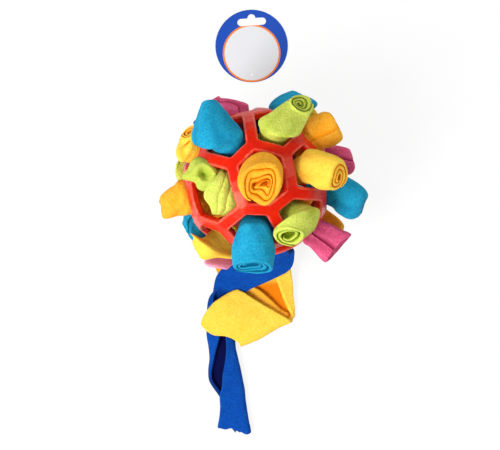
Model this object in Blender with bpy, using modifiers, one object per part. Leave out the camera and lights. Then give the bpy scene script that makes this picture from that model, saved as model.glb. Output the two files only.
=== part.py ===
import bpy
import bmesh
import math
from itertools import combinations
from mathutils import Matrix, Vector

# A snuffle toy: a hollow lattice ball of soft rubber with rolled strips of fleece pushed through its
# openings and two wide strips that hang out below. Metres, +Z up. The table is z = 0 and the ball's
# centre stands over the origin. A share is a fraction of the named size that it follows.

MM = 0.001

# The lattice ball
BALL_RADIUS = 57.5 * MM
WALL = 6.3 * MM
RIB_WIDTH = 9.4 * MM
RIM_ROUND = 1.0 * MM
CORNER_ROUND = 3.2 * MM
BALL_LIFT = 14.0 * MM

# The rolls: how thick the fleece is, how far its layers lie apart, how far a roll reaches in and out
FLEECE = 3.2 * MM
LAYER_GAP = 0.6 * MM
SEAT_GAP = 0.6 * MM
ROLL_RADIUS = 16.0 * MM
ROLL_INSIDE = 14.0 * MM
ROLL_REACH = 20.0 * MM
BODY_RISE = 7.0 * MM

# The two wide strips. Gathered, they run through the ball and out below it; their tails start at the
# line where they have come down to the table
STRIP_WIDTH = 38.0 * MM
STRIP_FLEECE = 3.0 * MM
STRIP_LAYER_GAP = 1.2 * MM
GATHERED_WIDTH = 19.0 * MM
GATHERED_DEPTH = 5.0 * MM
GATHERED_APART = 8.0 * MM
TAIL_DROP = 26.9 * MM
TAIL_GAP = 0.5 * MM
HINGE_HEIGHT = 8.8 * MM
TABLE_LAYER = STRIP_FLEECE / 2
UPPER_LAYER = TABLE_LAYER + STRIP_FLEECE + STRIP_LAYER_GAP
BLUE_TAIL_LENGTH = 124.5 * MM
YELLOW_TAIL_LENGTH = 48.0 * MM
STRIP_SECTION_STEPS = 10
TAIL_ACROSS = 3
OVAL_POWER = 0.6

# The round card with its hanging slot
CARD_RADIUS = 30.8 * MM
CARD_THICKNESS = 0.8 * MM
CARD_AHEAD = 119.2 * MM
CARD_ASIDE = 4.0 * MM
SLOT_LENGTH = 24.4 * MM
SLOT_WIDTH = 6.4 * MM
SLOT_UP = 20.5 * MM
SLOT_BUMP_RADIUS = 3.4 * MM
HOLE_RADIUS = 1.0 * MM
HOLE_DOWN = 24.3 * MM
CUT_OVERRUN = 1.0 * MM
SLOT_TILT = 4
SLOT_STEPS = 8
CARD_STEPS = 48

BALL_CENTRE = Vector((0, 0, BALL_LIFT + BALL_RADIUS))
INNER_RADIUS = BALL_RADIUS - WALL

# How finely the round shapes are divided
RIB_STEPS = 3
CORNER_STEPS = 3
TURN_STEPS = 8
SEARCH_STEPS = 400
FIT_STEPS = 8
LONGEST_CUT_SHARE = 0.45
CORE_SHARE = 0.9
EYE_SHARE = 0.2
LEAN_SHARE = 0.4
LEVEL_SHARE = 0.05
SHARP = math.radians(35)
BEVEL_FROM = math.radians(60)

# Where each opening of the ball looks to: its angle from +Z, then its angle round +Z from +X
OPENING_ANGLES = {
    "centre": (8, 43),
    "left": (39, -172),
    "upper_left": (43, 125),
    "top": (43, 71),
    "upper_right": (43, 16),
    "lower_right": (50, -44),
    "bottom": (51, -85),
    "far_left": (75, 155),
    "top_rim": (90, 107),
    "top_right_rim": (100, 72),
    "far_upper_right": (72, 37),
    "far_right": (88, -1),
    "far_lower_right": (104, -43),
    "window": (75, -78),
    "lower_left": (81, -115),
    "outer_left": (90, -173),
    "under_left": (117, 177),
    "strip_entry": (122, 126),
    "under_top": (117, 80),
    "under_right": (113, 33),
    "under_lower_right": (130, -37),
    "under_bottom": (136, -104),
    "under_lower_left": (123, -160),
    "strip_exit": (106, -71),
    "foot": (166, 175),
}

COLOURS = {
    "red": (0.80, 0.012, 0.004),
    "golden": (0.95, 0.42, 0.02),
    "yellow": (0.93, 0.67, 0.06),
    "lime": (0.60, 0.66, 0.10),
    "turquoise": (0.010, 0.42, 0.68),
    "pink": (0.80, 0.10, 0.22),
    "light_pink": (0.90, 0.33, 0.50),
    "blue": (0.003, 0.055, 0.40),
    "card": (0.78, 0.80, 0.84),
}

# One roll: its opening, its colour, where its tip lies as seen from the ball's centre (angle from +Z
# and round +Z), the tip's reach as a share, and the way that the tip faces (the same two angles)
ROLL_AIM_SHARES = {
    "roll_centre": ("centre", "golden", (5.3, -68), 0.72, (12, -120)),
    "roll_top": ("top", "lime", (55, 59), 0.82, (42, 50)),
    "roll_upper_right": ("upper_right", "yellow", (49, 1), 0.93, (55, -30)),
    "roll_lower_right": ("lower_right", "lime", (43, -60), 0.70, (45, -110)),
    "roll_bottom": ("bottom", "turquoise", (54.5, -94), 1.02, (66, -93)),
    "roll_upper_left": ("upper_left", "turquoise", (54.5, 125), 0.90, (70, 112)),
    "roll_left": ("left", "lime", (44, 176), 0.50, (60, 176)),
    "roll_top_rim": ("top_rim", "pink", (85, 111), 0.60, (80, 120)),
    "roll_far_left": ("far_left", "yellow", (73, 143), 0.50, (55, 130)),
    "roll_outer_left": ("outer_left", "golden", (85, -167), 0.84, (75, -172)),
    "roll_under_left": ("under_left", "lime", (112, 167), 0.56, (105, 160)),
    "roll_under_lower_left": ("under_lower_left", "turquoise", (115, -147), 0.72, (105, -142)),
    "roll_lower_left": ("lower_left", "yellow", (70, -131), 0.58, (60, -150)),
    "roll_under_bottom": ("under_bottom", "light_pink", (119, -113), 0.62, (105, -112)),
    "roll_far_upper_right": ("far_upper_right", "golden", (75, 34), 0.96, (80, 32)),
    "roll_under_top": ("under_top", "yellow", (115, 53), 1.15, (108, 45)),
    "roll_top_right_rim": ("top_right_rim", "turquoise", (95, 67), 0.92, (78, 72)),
    "roll_under_right": ("under_right", "pink", (109, 15), 0.92, (100, 12)),
    "roll_far_right": ("far_right", "turquoise", (84, -12), 1.22, (78, -20)),
    "roll_under_lower_right": ("under_lower_right", "golden", (120, -25.5), 1.12, (108, -23)),
    "roll_far_lower_right": ("far_lower_right", "pink", (95, -38.5), 1.17, (80, -35)),
    "strip_end": ("strip_entry", "blue", (106, 131), 0.80, (100, 135)),
    "roll_foot": ("foot", "lime", (176.84, -108.4), 0.70, (180, 0)),
}

# A roll's form: its body's and its tip's radius as shares, how flat its outer end is squashed as a
# share, the angle that the flat way is turned, how often it is rolled, and which way round
ROLL_FORM_SHARES = {
    "roll_centre": (1.22, 1.08, 1.0, 60, 2.5, 1),
    "roll_top": (1.0, 0.66, 1.0, 0, 2.25, 1),
    "roll_upper_right": (1.12, 0.96, 0.95, 20, 2.5, -1),
    "roll_lower_right": (1.08, 0.86, 1.0, 0, 2.25, 1),
    "roll_bottom": (1.10, 1.10, 0.85, 0, 2.25, -1),
    "roll_upper_left": (1.22, 0.62, 0.95, 30, 2.25, 1),
    "roll_left": (0.86, 0.62, 0.85, 70, 2.0, -1),
    "roll_top_rim": (0.90, 0.78, 1.0, 0, 2.25, 1),
    "roll_far_left": (0.96, 0.80, 1.0, 0, 2.25, -1),
    "roll_outer_left": (1.0, 0.92, 1.0, 0, 2.5, 1),
    "roll_under_left": (1.0, 0.86, 0.85, 0, 2.25, 1),
    "roll_under_lower_left": (0.96, 0.86, 0.9, 0, 2.25, -1),
    "roll_lower_left": (1.12, 1.06, 0.85, 30, 2.5, 1),
    "roll_under_bottom": (0.96, 0.92, 0.8, 0, 2.25, 1),
    "roll_far_upper_right": (1.08, 1.0, 0.95, 0, 2.5, -1),
    "roll_under_top": (0.92, 0.80, 1.0, 0, 2.25, 1),
    "roll_top_right_rim": (1.05, 0.96, 0.9, 0, 2.25, -1),
    "roll_under_right": (1.0, 0.94, 1.0, 0, 2.25, -1),
    "roll_far_right": (1.15, 1.09, 0.9, 0, 2.25, 1),
    "roll_under_lower_right": (0.96, 0.86, 1.0, 0, 2.25, 1),
    "roll_far_lower_right": (1.02, 1.02, 0.8, 0, 2.25, -1),
    "strip_end": (0.62, 0.64, 0.6, 0, 2.0, 1),
    "roll_foot": (1.0, 0.95, 1.0, 0, 2.25, 1),
}


def clear_scene():
    for thing in list(bpy.data.objects):
        bpy.data.objects.remove(thing, do_unlink=True)


def collection(name):
    group = bpy.data.collections.new(name)
    bpy.context.scene.collection.children.link(group)
    return group


def material(name, roughness):
    made = bpy.data.materials.get(name)
    if made:
        return made
    made = bpy.data.materials.new(name)
    made.use_nodes = True
    shader = made.node_tree.nodes["Principled BSDF"]
    shader.inputs["Base Color"].default_value = (*COLOURS[name], 1)
    shader.inputs["Roughness"].default_value = roughness
    shader.inputs["Metallic"].default_value = 0
    return made


def add_object(name, mesh, group, colour, roughness=0.95):
    mesh.materials.append(material(colour, roughness))
    made = bpy.data.objects.new(name, mesh)
    group.objects.link(made)
    return made


def mesh_from(name, points, faces):
    mesh = bpy.data.meshes.new(name)
    mesh.from_pydata(points, [], faces)
    bm = bmesh.new()
    bm.from_mesh(mesh)
    bmesh.ops.recalc_face_normals(bm, faces=bm.faces)
    bm.to_mesh(mesh)
    bm.free()
    mesh.shade_smooth()
    mesh.set_sharp_from_angle(angle=SHARP)
    return mesh


def direction(from_top, around):
    polar = math.radians(from_top)
    azimuth = math.radians(around)
    level = math.sin(polar)
    return Vector((level * math.cos(azimuth), level * math.sin(azimuth), math.cos(polar)))


LOOKS = [direction(*angles) for angles in OPENING_ANGLES.values()]
HALF_RIB_ANGLE = RIB_WIDTH / BALL_RADIUS / 2


# The corners where three ribs meet: each is as far from three openings as from each other, and
# no fourth opening is nearer
def rib_corners():
    corners = []
    for trio in combinations(range(len(LOOKS)), 3):
        a, b, c = (LOOKS[i] for i in trio)
        corner = (b - a).cross(c - a).normalized()
        if corner.dot(a) < 0:
            corner.negate()
        nearest = corner.dot(a)
        others = (LOOKS[i] for i in range(len(LOOKS)) if i not in trio)
        if all(corner.dot(other) < nearest for other in others):
            corners.append((corner, trio))
    return corners


CORNERS = rib_corners()


# The corners round one opening, counterclockwise as seen from outside
def ring_of(opening):
    look = LOOKS[opening]
    side = look.orthogonal().normalized()
    up = look.cross(side)
    around = [i for i, (_, trio) in enumerate(CORNERS) if opening in trio]
    return sorted(around, key=lambda i: math.atan2(CORNERS[i][0].dot(up), CORNERS[i][0].dot(side)))


# The inward normals of the planes through the ball's centre and each rib round one opening
def rib_planes(ring):
    points = [CORNERS[i][0] for i in ring]
    return [points[k].cross(points[(k + 1) % len(points)]).normalized() for k in range(len(points))]


# Where the edges of two ribs of an opening would meet if its corner weren't rounded
def edge_meeting(before, after):
    along = math.sin(HALF_RIB_ANGLE) / (1 + before.dot(after))
    level = (before + after) * along
    rise = before.cross(after).normalized()
    return level + rise * math.sqrt(1 - level.length_squared)


# A point of a rib's edge between two of its points, kept at half a rib from the rib's middle
def edge_point(start, end, share, plane):
    between = start.lerp(end, share)
    flat = (between - plane * between.dot(plane)).normalized()
    return flat * math.cos(HALF_RIB_ANGLE) + plane * math.sin(HALF_RIB_ANGLE)


# The outline of one opening: for each corner its rounded stretch, as directions
def opening_outline(opening):
    ring = ring_of(opening)
    planes = rib_planes(ring)
    count = len(ring)
    meets = [edge_meeting(planes[k - 1], planes[k]) for k in range(count)]
    outline = []
    for k in range(count):
        turn = math.acos(max(-1, min(1, planes[k - 1].dot(planes[k]))))
        cut = CORNER_ROUND * math.tan(turn / 2) / BALL_RADIUS
        before = (meets[k - 1] - meets[k]).length
        after = (meets[(k + 1) % count] - meets[k]).length
        cut = min(cut, before * LONGEST_CUT_SHARE, after * LONGEST_CUT_SHARE)
        start = edge_point(meets[k], meets[k - 1], cut / before, planes[k - 1])
        end = edge_point(meets[k], meets[(k + 1) % count], cut / after, planes[k])
        stretch = []
        for step in range(CORNER_STEPS + 1):
            t = step / CORNER_STEPS
            point = start.lerp(meets[k], t).lerp(meets[k].lerp(end, t), t)
            stretch.append(point.normalized())
        outline.append((ring[k], stretch))
    return outline, planes


OUTLINES = [opening_outline(i) for i in range(len(LOOKS))]


def lattice_ball(group):
    bm = bmesh.new()
    round_corner = {i: [] for i in range(len(CORNERS))}
    sides = {}
    for opening, (outline, planes) in enumerate(OUTLINES):
        stretches = [[bm.verts.new(p * BALL_RADIUS) for p in points] for _, points in outline]
        for k, (corner, _) in enumerate(outline):
            round_corner[corner] += stretches[k]
            following = (k + 1) % len(outline)
            start, end = stretches[k][-1], stretches[following][0]
            middle = []
            for step in range(1, RIB_STEPS):
                share = step / RIB_STEPS
                point = edge_point(start.co.normalized(), end.co.normalized(), share, planes[k])
                middle.append(bm.verts.new(point * BALL_RADIUS))
            sides[corner, outline[following][0]] = [start, *middle, end]
    for (first, last), side in sides.items():
        if first > last:
            continue
        facing = sides[last, first][::-1]
        for k in range(RIB_STEPS):
            bm.faces.new((side[k], facing[k], facing[k + 1], side[k + 1]))
    for corner, verts in round_corner.items():
        middle = CORNERS[corner][0]
        side = middle.orthogonal().normalized()
        up = middle.cross(side)
        verts.sort(key=lambda v: math.atan2(v.co.dot(up), v.co.dot(side)))
        hub = bm.verts.new(middle * BALL_RADIUS)
        for k, vert in enumerate(verts):
            bm.faces.new((hub, vert, verts[(k + 1) % len(verts)]))
    for face in bm.faces:
        if face.normal.dot(face.calc_center_median()) < 0:
            face.normal_flip()
    mesh = bpy.data.meshes.new("lattice_ball")
    bm.to_mesh(mesh)
    bm.free()
    mesh.shade_smooth()
    ball = add_object("lattice_ball", mesh, group, "red", 0.35)
    ball.location = BALL_CENTRE
    wall = ball.modifiers.new("wall", "SOLIDIFY")
    wall.thickness = WALL
    wall.offset = -1
    rim = ball.modifiers.new("rim", "BEVEL")
    rim.width = RIM_ROUND
    rim.segments = 1
    rim.limit_method = "ANGLE"
    rim.angle_limit = BEVEL_FROM
    return ball


# The direction in an opening that lies furthest from all its ribs, and the angle that is clear there
def seat_of(name):
    opening = list(OPENING_ANGLES).index(name)
    _, planes = OUTLINES[opening]
    look = LOOKS[opening].copy()
    for step in range(SEARCH_STEPS):
        nearest = min(planes, key=look.dot)
        look = (look + nearest * (1 - step / SEARCH_STEPS) * HALF_RIB_ANGLE / 2).normalized()
    clear = math.asin(min(look.dot(plane) for plane in planes)) - HALF_RIB_ANGLE
    return look, clear


# A rolled strip's section: a spiral band from the core out to the radius, as flat points
def spiral(radius, turns, way):
    pitch = (radius - FLEECE * CORE_SHARE) / turns
    layer = pitch - LAYER_GAP
    outer, inner = [], []
    for step in range(round(turns * TURN_STEPS) + 1):
        turned = step / TURN_STEPS
        angle = math.tau * turned * way
        reach = radius - pitch * (turns - turned)
        heading = Vector((math.cos(angle), math.sin(angle)))
        outer.append(heading * reach)
        inner.append(heading * max(reach - layer, FLEECE * EYE_SHARE * (1 - turned)))
    return outer + inner[::-1]


# A solid through rings of equally many points, with flat ends
def loft(name, rings):
    count = len(rings[0])
    points = [p for ring in rings for p in ring]
    faces = []
    for r in range(len(rings) - 1):
        for k in range(count):
            k2 = (k + 1) % count
            faces.append((r * count + k, r * count + k2, (r + 1) * count + k2, (r + 1) * count + k))
    faces.append(tuple(range(count)))
    faces.append(tuple(range((len(rings) - 1) * count, len(rings) * count)))
    return mesh_from(name, points, faces)


# A ring of a roll: its spiral section, squashed, round a centre and square to the way it faces
def roll_ring(centre, way_out, side, radius, form):
    _, _, flat_share, flat_turn, turns, way = form
    up = way_out.cross(side).normalized()
    rotate = Matrix.Rotation(math.radians(flat_turn), 2)
    back = rotate.transposed()
    ring = []
    for point in spiral(radius, turns, way):
        turned = rotate @ point
        turned.y *= flat_share
        turned = back @ turned
        ring.append(centre + side * turned.x + up * turned.y)
    return ring


# The radius with which a roll's section comes to the seat gap from the nearest rib of its opening
def fitted_radius(opening, seat, side, distance, radius, form):
    _, planes = OUTLINES[list(OPENING_ANGLES).index(opening)]
    for _ in range(FIT_STEPS):
        ring = roll_ring(seat * distance, seat, side, radius, form)
        least = min(point.normalized().dot(plane) for point in ring for plane in planes)
        radius += (math.asin(least) - HALF_RIB_ANGLE) * distance - SEAT_GAP
    return radius


# The rings of a roll: straight through the wall along its opening's seat, then over to its tip. The
# part in the wall widens outwards as the opening does, so the roll can be pulled out
def roll_rings(opening, tip, faces, form):
    seat, clear = seat_of(opening)
    inside = INNER_RADIUS - ROLL_INSIDE
    neck = (BALL_RADIUS + SEAT_GAP) * math.cos(clear)
    lean = (tip - seat * tip.dot(seat)) * LEAN_SHARE
    body = seat * (neck + BODY_RISE) + lean
    round_form = (*form[:2], 1, *form[3:])
    side = seat.cross(Vector((0, 0, 1)))
    side = side.normalized() if side.length > LEVEL_SHARE else Vector((1, 0, 0))
    width = fitted_radius(opening, seat, side, neck, neck * math.tan(clear), round_form)
    stations = [
        (seat * inside, seat, width * inside / neck, round_form),
        (seat * neck, seat, width, round_form),
        (body, seat.slerp(faces, LEAN_SHARE), ROLL_RADIUS * form[0], form),
        (tip, faces, ROLL_RADIUS * form[1], form),
    ]
    rings = []
    facing = seat
    for centre, way_out, radius, ring_form in stations:
        side = (facing.rotation_difference(way_out) @ side).normalized()
        facing = way_out
        rings.append(roll_ring(centre, way_out, side, radius, ring_form))
    return rings


def roll(name, group):
    opening, colour, aim, reach_share, faces = ROLL_AIM_SHARES[name]
    tip = direction(*aim) * (BALL_RADIUS + ROLL_REACH * reach_share)
    if opening == "foot":  # its end face lies on the table
        tip *= -BALL_CENTRE.z / tip.z
    rings = roll_rings(opening, tip, direction(*faces), ROLL_FORM_SHARES[name])
    made = add_object(name, loft(name, rings), group, colour)
    made.location = BALL_CENTRE
    return made


# A strip's section: a flat oval between its two edges
def strip_ring(left, right, depth, along):
    across = (right - left).normalized()
    up = across.cross(along).normalized()
    middle = (left + right) / 2
    half = (right - left).length / 2
    ring = []
    for k in range(STRIP_SECTION_STEPS):
        angle = math.tau * k / STRIP_SECTION_STEPS
        flat = math.copysign(abs(math.cos(angle)) ** OVAL_POWER, math.cos(angle))
        high = math.copysign(abs(math.sin(angle)) ** OVAL_POWER, math.sin(angle))
        ring.append(middle + across * half * flat + up * depth / 2 * high)
    return ring


# A gathered strip, lofted through stations that each give its left edge, right edge and depth
def gathered_strip(name, stations, group, colour):
    middles = [(left + right) / 2 for left, right, _ in stations]
    rings = []
    for k, (left, right, depth) in enumerate(stations):
        if k == len(stations) - 1:
            along = Vector((0, -1, 0))
        else:
            along = middles[k + 1] - middles[max(k - 1, 0)]
        rings.append(strip_ring(left, right, depth, along))
    return add_object(name, loft(name, rings), group, colour)


EXIT, _ = seat_of("strip_exit")
ENTRY, _ = seat_of("strip_entry")
EXIT_SIDE = Vector((0, 0, 1)).cross(EXIT).normalized()
EXIT_UP = EXIT.cross(EXIT_SIDE).normalized()


# A strip's edges where it runs inside the ball, in the upright plane through the exit. The angle is
# from +Z towards the exit and the reach is a share of the ball's inner radius
def inside_station(angle, reach_share, width_share):
    level = Vector((EXIT.x, EXIT.y, 0)).normalized()
    turn = math.radians(angle)
    heading = level * math.sin(turn) + Vector((0, 0, 1)) * math.cos(turn)
    middle = BALL_CENTRE + heading * INNER_RADIUS * reach_share
    half = EXIT_SIDE * GATHERED_WIDTH * width_share / 2
    return middle - half, middle + half, GATHERED_DEPTH


# A strip's edges in the exit: the reach is a share of the ball's radius, and a strip above or below
# the exit's middle stands half the strips' spacing away from it
def exit_station(reach_share, way):
    middle = BALL_CENTRE + EXIT * BALL_RADIUS * reach_share + EXIT_UP * GATHERED_APART / 2 * way
    half = EXIT_SIDE * GATHERED_WIDTH / 2
    return middle - half, middle + half, GATHERED_DEPTH


# An edge of a strip on its way down: aside and up are shares of the ball's radius and of its centre's
# height, and ahead is the share of the way from under the ball's side to the tail's start
def falling_edge(aside_share, ahead_share, up_share):
    ahead = BALL_RADIUS + TAIL_DROP * ahead_share
    return Vector((BALL_RADIUS * aside_share, -ahead, BALL_CENTRE.z * up_share))


def falling_station(left_shares, right_shares, depth_share):
    return falling_edge(*left_shares), falling_edge(*right_shares), STRIP_FLEECE * depth_share


# Where a strip runs. Inside the ball: the angle, the reach and the width of each station; in the exit:
# the reach; falling to the table: the left edge, the right edge and the depth
BLUE_INSIDE_SHARES = (
    (-100, 0.60, 0.5),
    (-78, 0.58, 0.45),
    (-52, 0.66, 0.45),
    (-25, 0.62, 0.6),
    (0, 0.56, 0.8),
    (35, 0.57, 0.9),
    (70, 0.62, 0.9),
)
BLUE_EXIT_SHARES = (0.76, 0.95, 1.07)
BLUE_FALL_SHARES = (
    ((0.216, 0.20, 0.530), (0.525, 0.02, 0.530), 1.3),
    ((-0.094, 0.387, 0.378), (0.421, 0.45, 0.35), 1),
    ((-0.339, 0.431, 0.266), (0.080, 0.848, 0.185), 1),
    ((-0.544, 0.662, 0.168), (-0.064, 0.922, 0.130), 1),
    ((-0.621, 0.985, 0.098), (-0.197, 0.993, 0.056), 1),
)
YELLOW_INSIDE_SHARES = (
    (75, 0.36, 0.6),
    (98, 0.58, 0.7),
)
YELLOW_EXIT_SHARES = (0.80, 0.91, 0.99)
YELLOW_FALL_SHARES = (
    ((0.104, -0.130, 0.475), (0.400, -0.242, 0.475), 1.4),
    ((0.080, 0.349, 0.182), (0.470, 0.219, 0.210), 1.1),
    ((-0.123, 0.710, 0.052), (0.503, 0.602, 0.112), 1),
    ((-0.137, 1.0, 0.030), (0.517, 0.993, 0.050), 1),
)


def blue_strip(group):
    start = BALL_CENTRE + ENTRY * (INNER_RADIUS - ROLL_INSIDE - GATHERED_DEPTH / 2 - SEAT_GAP)
    half = EXIT_SIDE * GATHERED_WIDTH / 4
    stations = [(start - half, start + half, GATHERED_DEPTH)]
    stations += [inside_station(*row) for row in BLUE_INSIDE_SHARES]
    stations += [exit_station(reach, 1) for reach in BLUE_EXIT_SHARES]
    stations += [falling_station(*row) for row in BLUE_FALL_SHARES]
    return gathered_strip("blue_strip", stations, group, "blue")


def yellow_strip(group):
    stations = [inside_station(*row) for row in YELLOW_INSIDE_SHARES]
    stations += [exit_station(reach, -1) for reach in YELLOW_EXIT_SHARES]
    stations += [falling_station(*row) for row in YELLOW_FALL_SHARES]
    return gathered_strip("yellow_strip", stations, group, "yellow")


# The line that the tails lift about, just above the strips' ends
HINGE = Vector((0, -(BALL_RADIUS + TAIL_DROP), HINGE_HEIGHT))


# A tail: an open sheet through rows of edge points, given its thickness evenly to both sides
def tail(name, rows, group, colour):
    count = len(rows[0])
    points = [p - HINGE for row in rows for p in row]
    faces = []
    for r in range(len(rows) - 1):
        for k in range(count - 1):
            first = r * count + k
            faces.append((first, first + 1, first + count + 1, first + count))
    made = add_object(name, mesh_from(name, points, faces), group, colour)
    sheet = made.modifiers.new("fleece", "SOLIDIFY")
    sheet.thickness = STRIP_FLEECE
    sheet.offset = 0
    made.location = HINGE
    return made


# The blue tail, from its start on: how far along, where its left and its right fold lie (shares of the
# strip's width from the line through the ball's centre), how wide its left and its right flap are,
# how high its two folds lie (shares of a layer), and how far its flaps are turned over
BLUE_TAIL_SHARES = (
    (0.000, -0.900, -0.340, 0.04, 0.04, 1.30, 0.60, 0.0),
    (0.090, -0.960, -0.400, 0.04, 0.04, 0.00, 0.00, 0.0),
    (0.240, -1.020, -0.480, 0.06, 0.06, 0.00, 0.00, 0.1),
    (0.370, -1.040, -0.530, 0.20, 0.14, 0.00, 0.00, 0.9),
    (0.470, -1.000, -0.450, 0.10, 0.26, 0.00, 0.00, 1.0),
    (0.615, -0.980, -0.360, 0.06, 0.38, 0.00, 0.00, 1.0),
    (0.750, -0.810, -0.285, 0.05, 0.53, 0.00, 0.00, 1.0),
    (0.880, -0.590, -0.210, 0.04, 0.62, 0.00, 0.00, 1.0),
    (0.990, -0.450, -0.150, 0.04, 0.70, 0.00, 0.00, 1.0),
)


# The three points of a flap, from its loose edge to just inside its fold: way is the side it lies on
def flap_points(fold, width, way, up, turned, y):
    over = (UPPER_LAYER - TABLE_LAYER) * turned
    bend = (UPPER_LAYER - TABLE_LAYER) / 2
    reach = width * math.cos(math.pi * turned)
    middle = bend * turned + width / 2 * (1 - turned)
    return [
        Vector((fold + reach * way, y, up + over)),
        Vector((fold + middle * way, y, up + over / 2)),
        Vector((fold - bend * way, y, up)),
    ]


def blue_tail(group):
    rows = []
    start = BALL_RADIUS + TAIL_DROP + TAIL_GAP
    for along, left, right, left_flap, right_flap, left_up, right_up, turned in BLUE_TAIL_SHARES:
        y = -(start + BLUE_TAIL_LENGTH * along)
        ups = [TABLE_LAYER + (UPPER_LAYER - TABLE_LAYER) * up for up in (left_up, right_up)]
        near = flap_points(STRIP_WIDTH * left, STRIP_WIDTH * left_flap, -1, ups[0], turned, y)
        far = flap_points(STRIP_WIDTH * right, STRIP_WIDTH * right_flap, 1, ups[1], turned, y)
        rows.append(near + far[::-1])
    return tail("blue_tail", rows, group, "blue")


# The yellow tail: each row's left and right end aside (shares of the strip's width from the line
# through the ball's centre), along (shares of the tail's length from its start) and up (layers)
YELLOW_TAIL_SHARES = (
    ((-0.208, 0.00, 0.15), (0.782, 0.00, 0.6)),
    ((-0.232, 0.33, 0.00), (0.816, 0.24, 0.0)),
    ((-0.280, 0.96, 0.00), (0.780, 0.54, 0.0)),
    ((-0.290, 1.04, 0.50), (0.800, 0.62, 0.5)),
    ((-0.300, 1.00, 1.00), (0.770, 0.56, 1.0)),
    ((-0.560, 0.93, 1.50), (0.440, 0.42, 1.0)),
    ((-0.780, 0.85, 1.95), (0.190, 0.30, 1.0)),
    ((-1.247, 0.68, 1.60), (-0.429, 0.04, 1.8)),
)


def yellow_tail(group):
    start = BALL_RADIUS + TAIL_DROP + TAIL_GAP

    def spot(aside, along, up):
        return Vector((
            STRIP_WIDTH * aside,
            -(start + YELLOW_TAIL_LENGTH * along),
            TABLE_LAYER + (UPPER_LAYER - TABLE_LAYER) * up,
        ))

    rows = []
    for left, right in YELLOW_TAIL_SHARES:
        ends = spot(*left), spot(*right)
        rows.append([ends[0].lerp(ends[1], step / TAIL_ACROSS) for step in range(TAIL_ACROSS + 1)])
    return tail("yellow_tail", rows, group, "yellow")


# An upright prism over a flat outline, for the card and what is cut from it
def prism(name, outline, bottom, top):
    bm = bmesh.new()
    face = bm.faces.new([bm.verts.new((p.x, p.y, bottom)) for p in outline])
    if face.normal.z > 0:
        face.normal_flip()
    raised = bmesh.ops.extrude_face_region(bm, geom=[face])["geom"]
    for vert in (v for v in raised if isinstance(v, bmesh.types.BMVert)):
        vert.co.z = top
    bmesh.ops.recalc_face_normals(bm, faces=bm.faces)
    mesh = bpy.data.meshes.new(name)
    bm.to_mesh(mesh)
    bm.free()
    return mesh


def arc(centre, radius, start, end, steps):
    angles = (math.radians(start + (end - start) * k / steps) for k in range(steps + 1))
    return [centre + Vector((math.cos(a), math.sin(a))) * radius for a in angles]


def slot_outline():
    end = SLOT_LENGTH / 2 - SLOT_WIDTH / 2
    right = arc(Vector((end, 0)), SLOT_WIDTH / 2, -90, 90, SLOT_STEPS)
    bump = arc(Vector((0, SLOT_WIDTH / 2)), SLOT_BUMP_RADIUS, 0, 180, SLOT_STEPS)
    left = arc(Vector((-end, 0)), SLOT_WIDTH / 2, 90, 270, SLOT_STEPS)
    tilt = Matrix.Rotation(math.radians(SLOT_TILT), 2)
    return [tilt @ point + Vector((0, SLOT_UP)) for point in right + bump + left]


def card(group, cutters):
    rim = arc(Vector((0, 0)), CARD_RADIUS, 0, 360, CARD_STEPS)[:-1]
    hole = arc(Vector((0, -HOLE_DOWN)), HOLE_RADIUS, 0, 360, SLOT_STEPS)[:-1]
    made = add_object("swing_card", prism("swing_card", rim, 0, CARD_THICKNESS), group, "card", 0.5)
    made.location = (-CARD_ASIDE, CARD_AHEAD, 0)
    for name, outline in (("card_slot", slot_outline()), ("card_hole", hole)):
        cutter = bpy.data.objects.new(name, prism(name, outline, -CUT_OVERRUN, CARD_THICKNESS + CUT_OVERRUN))
        cutters.objects.link(cutter)
        cutter.parent = made
        cutter.hide_render = True
        cutter.display_type = "WIRE"
        cut = made.modifiers.new(name, "BOOLEAN")
        cut.operation = "DIFFERENCE"
        cut.solver = "EXACT"
        cut.object = cutter
    return made


clear_scene()
snuffle_toy = collection("snuffle_toy")
cutting = collection("cutters")
lattice_ball(snuffle_toy)
for roll_name in ROLL_AIM_SHARES:
    roll(roll_name, snuffle_toy)
blue_strip(snuffle_toy)
yellow_strip(snuffle_toy)
blue_tail(snuffle_toy)
yellow_tail(snuffle_toy)
card(snuffle_toy, cutting)
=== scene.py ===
import bpy
import bmesh
import math
from mathutils import Matrix, Vector, noise


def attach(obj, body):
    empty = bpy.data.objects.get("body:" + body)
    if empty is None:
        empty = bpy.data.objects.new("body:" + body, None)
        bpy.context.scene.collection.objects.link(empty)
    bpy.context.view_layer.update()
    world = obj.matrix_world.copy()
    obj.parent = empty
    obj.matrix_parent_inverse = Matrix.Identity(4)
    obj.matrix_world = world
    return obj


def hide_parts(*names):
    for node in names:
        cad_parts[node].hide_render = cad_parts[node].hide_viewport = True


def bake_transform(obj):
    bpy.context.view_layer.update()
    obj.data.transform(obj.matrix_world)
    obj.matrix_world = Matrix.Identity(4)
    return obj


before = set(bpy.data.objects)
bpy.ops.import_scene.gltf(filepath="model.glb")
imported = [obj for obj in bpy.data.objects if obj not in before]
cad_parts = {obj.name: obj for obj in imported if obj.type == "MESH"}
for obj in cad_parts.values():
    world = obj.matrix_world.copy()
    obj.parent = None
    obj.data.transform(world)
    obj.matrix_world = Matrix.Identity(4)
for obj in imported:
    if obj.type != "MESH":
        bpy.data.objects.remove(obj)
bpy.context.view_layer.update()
mm = 0.001
ballCentre = Vector((0, 0, 71.5)) * mm
ballRadius = 57.5 * mm
weld = 0.01 * mm  # points closer than this become one
noise.seed_set(11)  # without it, the soft noise would differ at each run


# small helpers
def look(polar, azimuth):  # a direction from the ball's centre, in degrees from +Z and from +X
    p, a = math.radians(polar), math.radians(azimuth)
    return Vector((math.sin(p) * math.cos(a), math.sin(p) * math.sin(a), math.cos(p)))


def fromBall(polar, azimuth, away):  # a place that lies so many mm from the ball's centre
    return look(polar, azimuth) * away * mm


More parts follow.
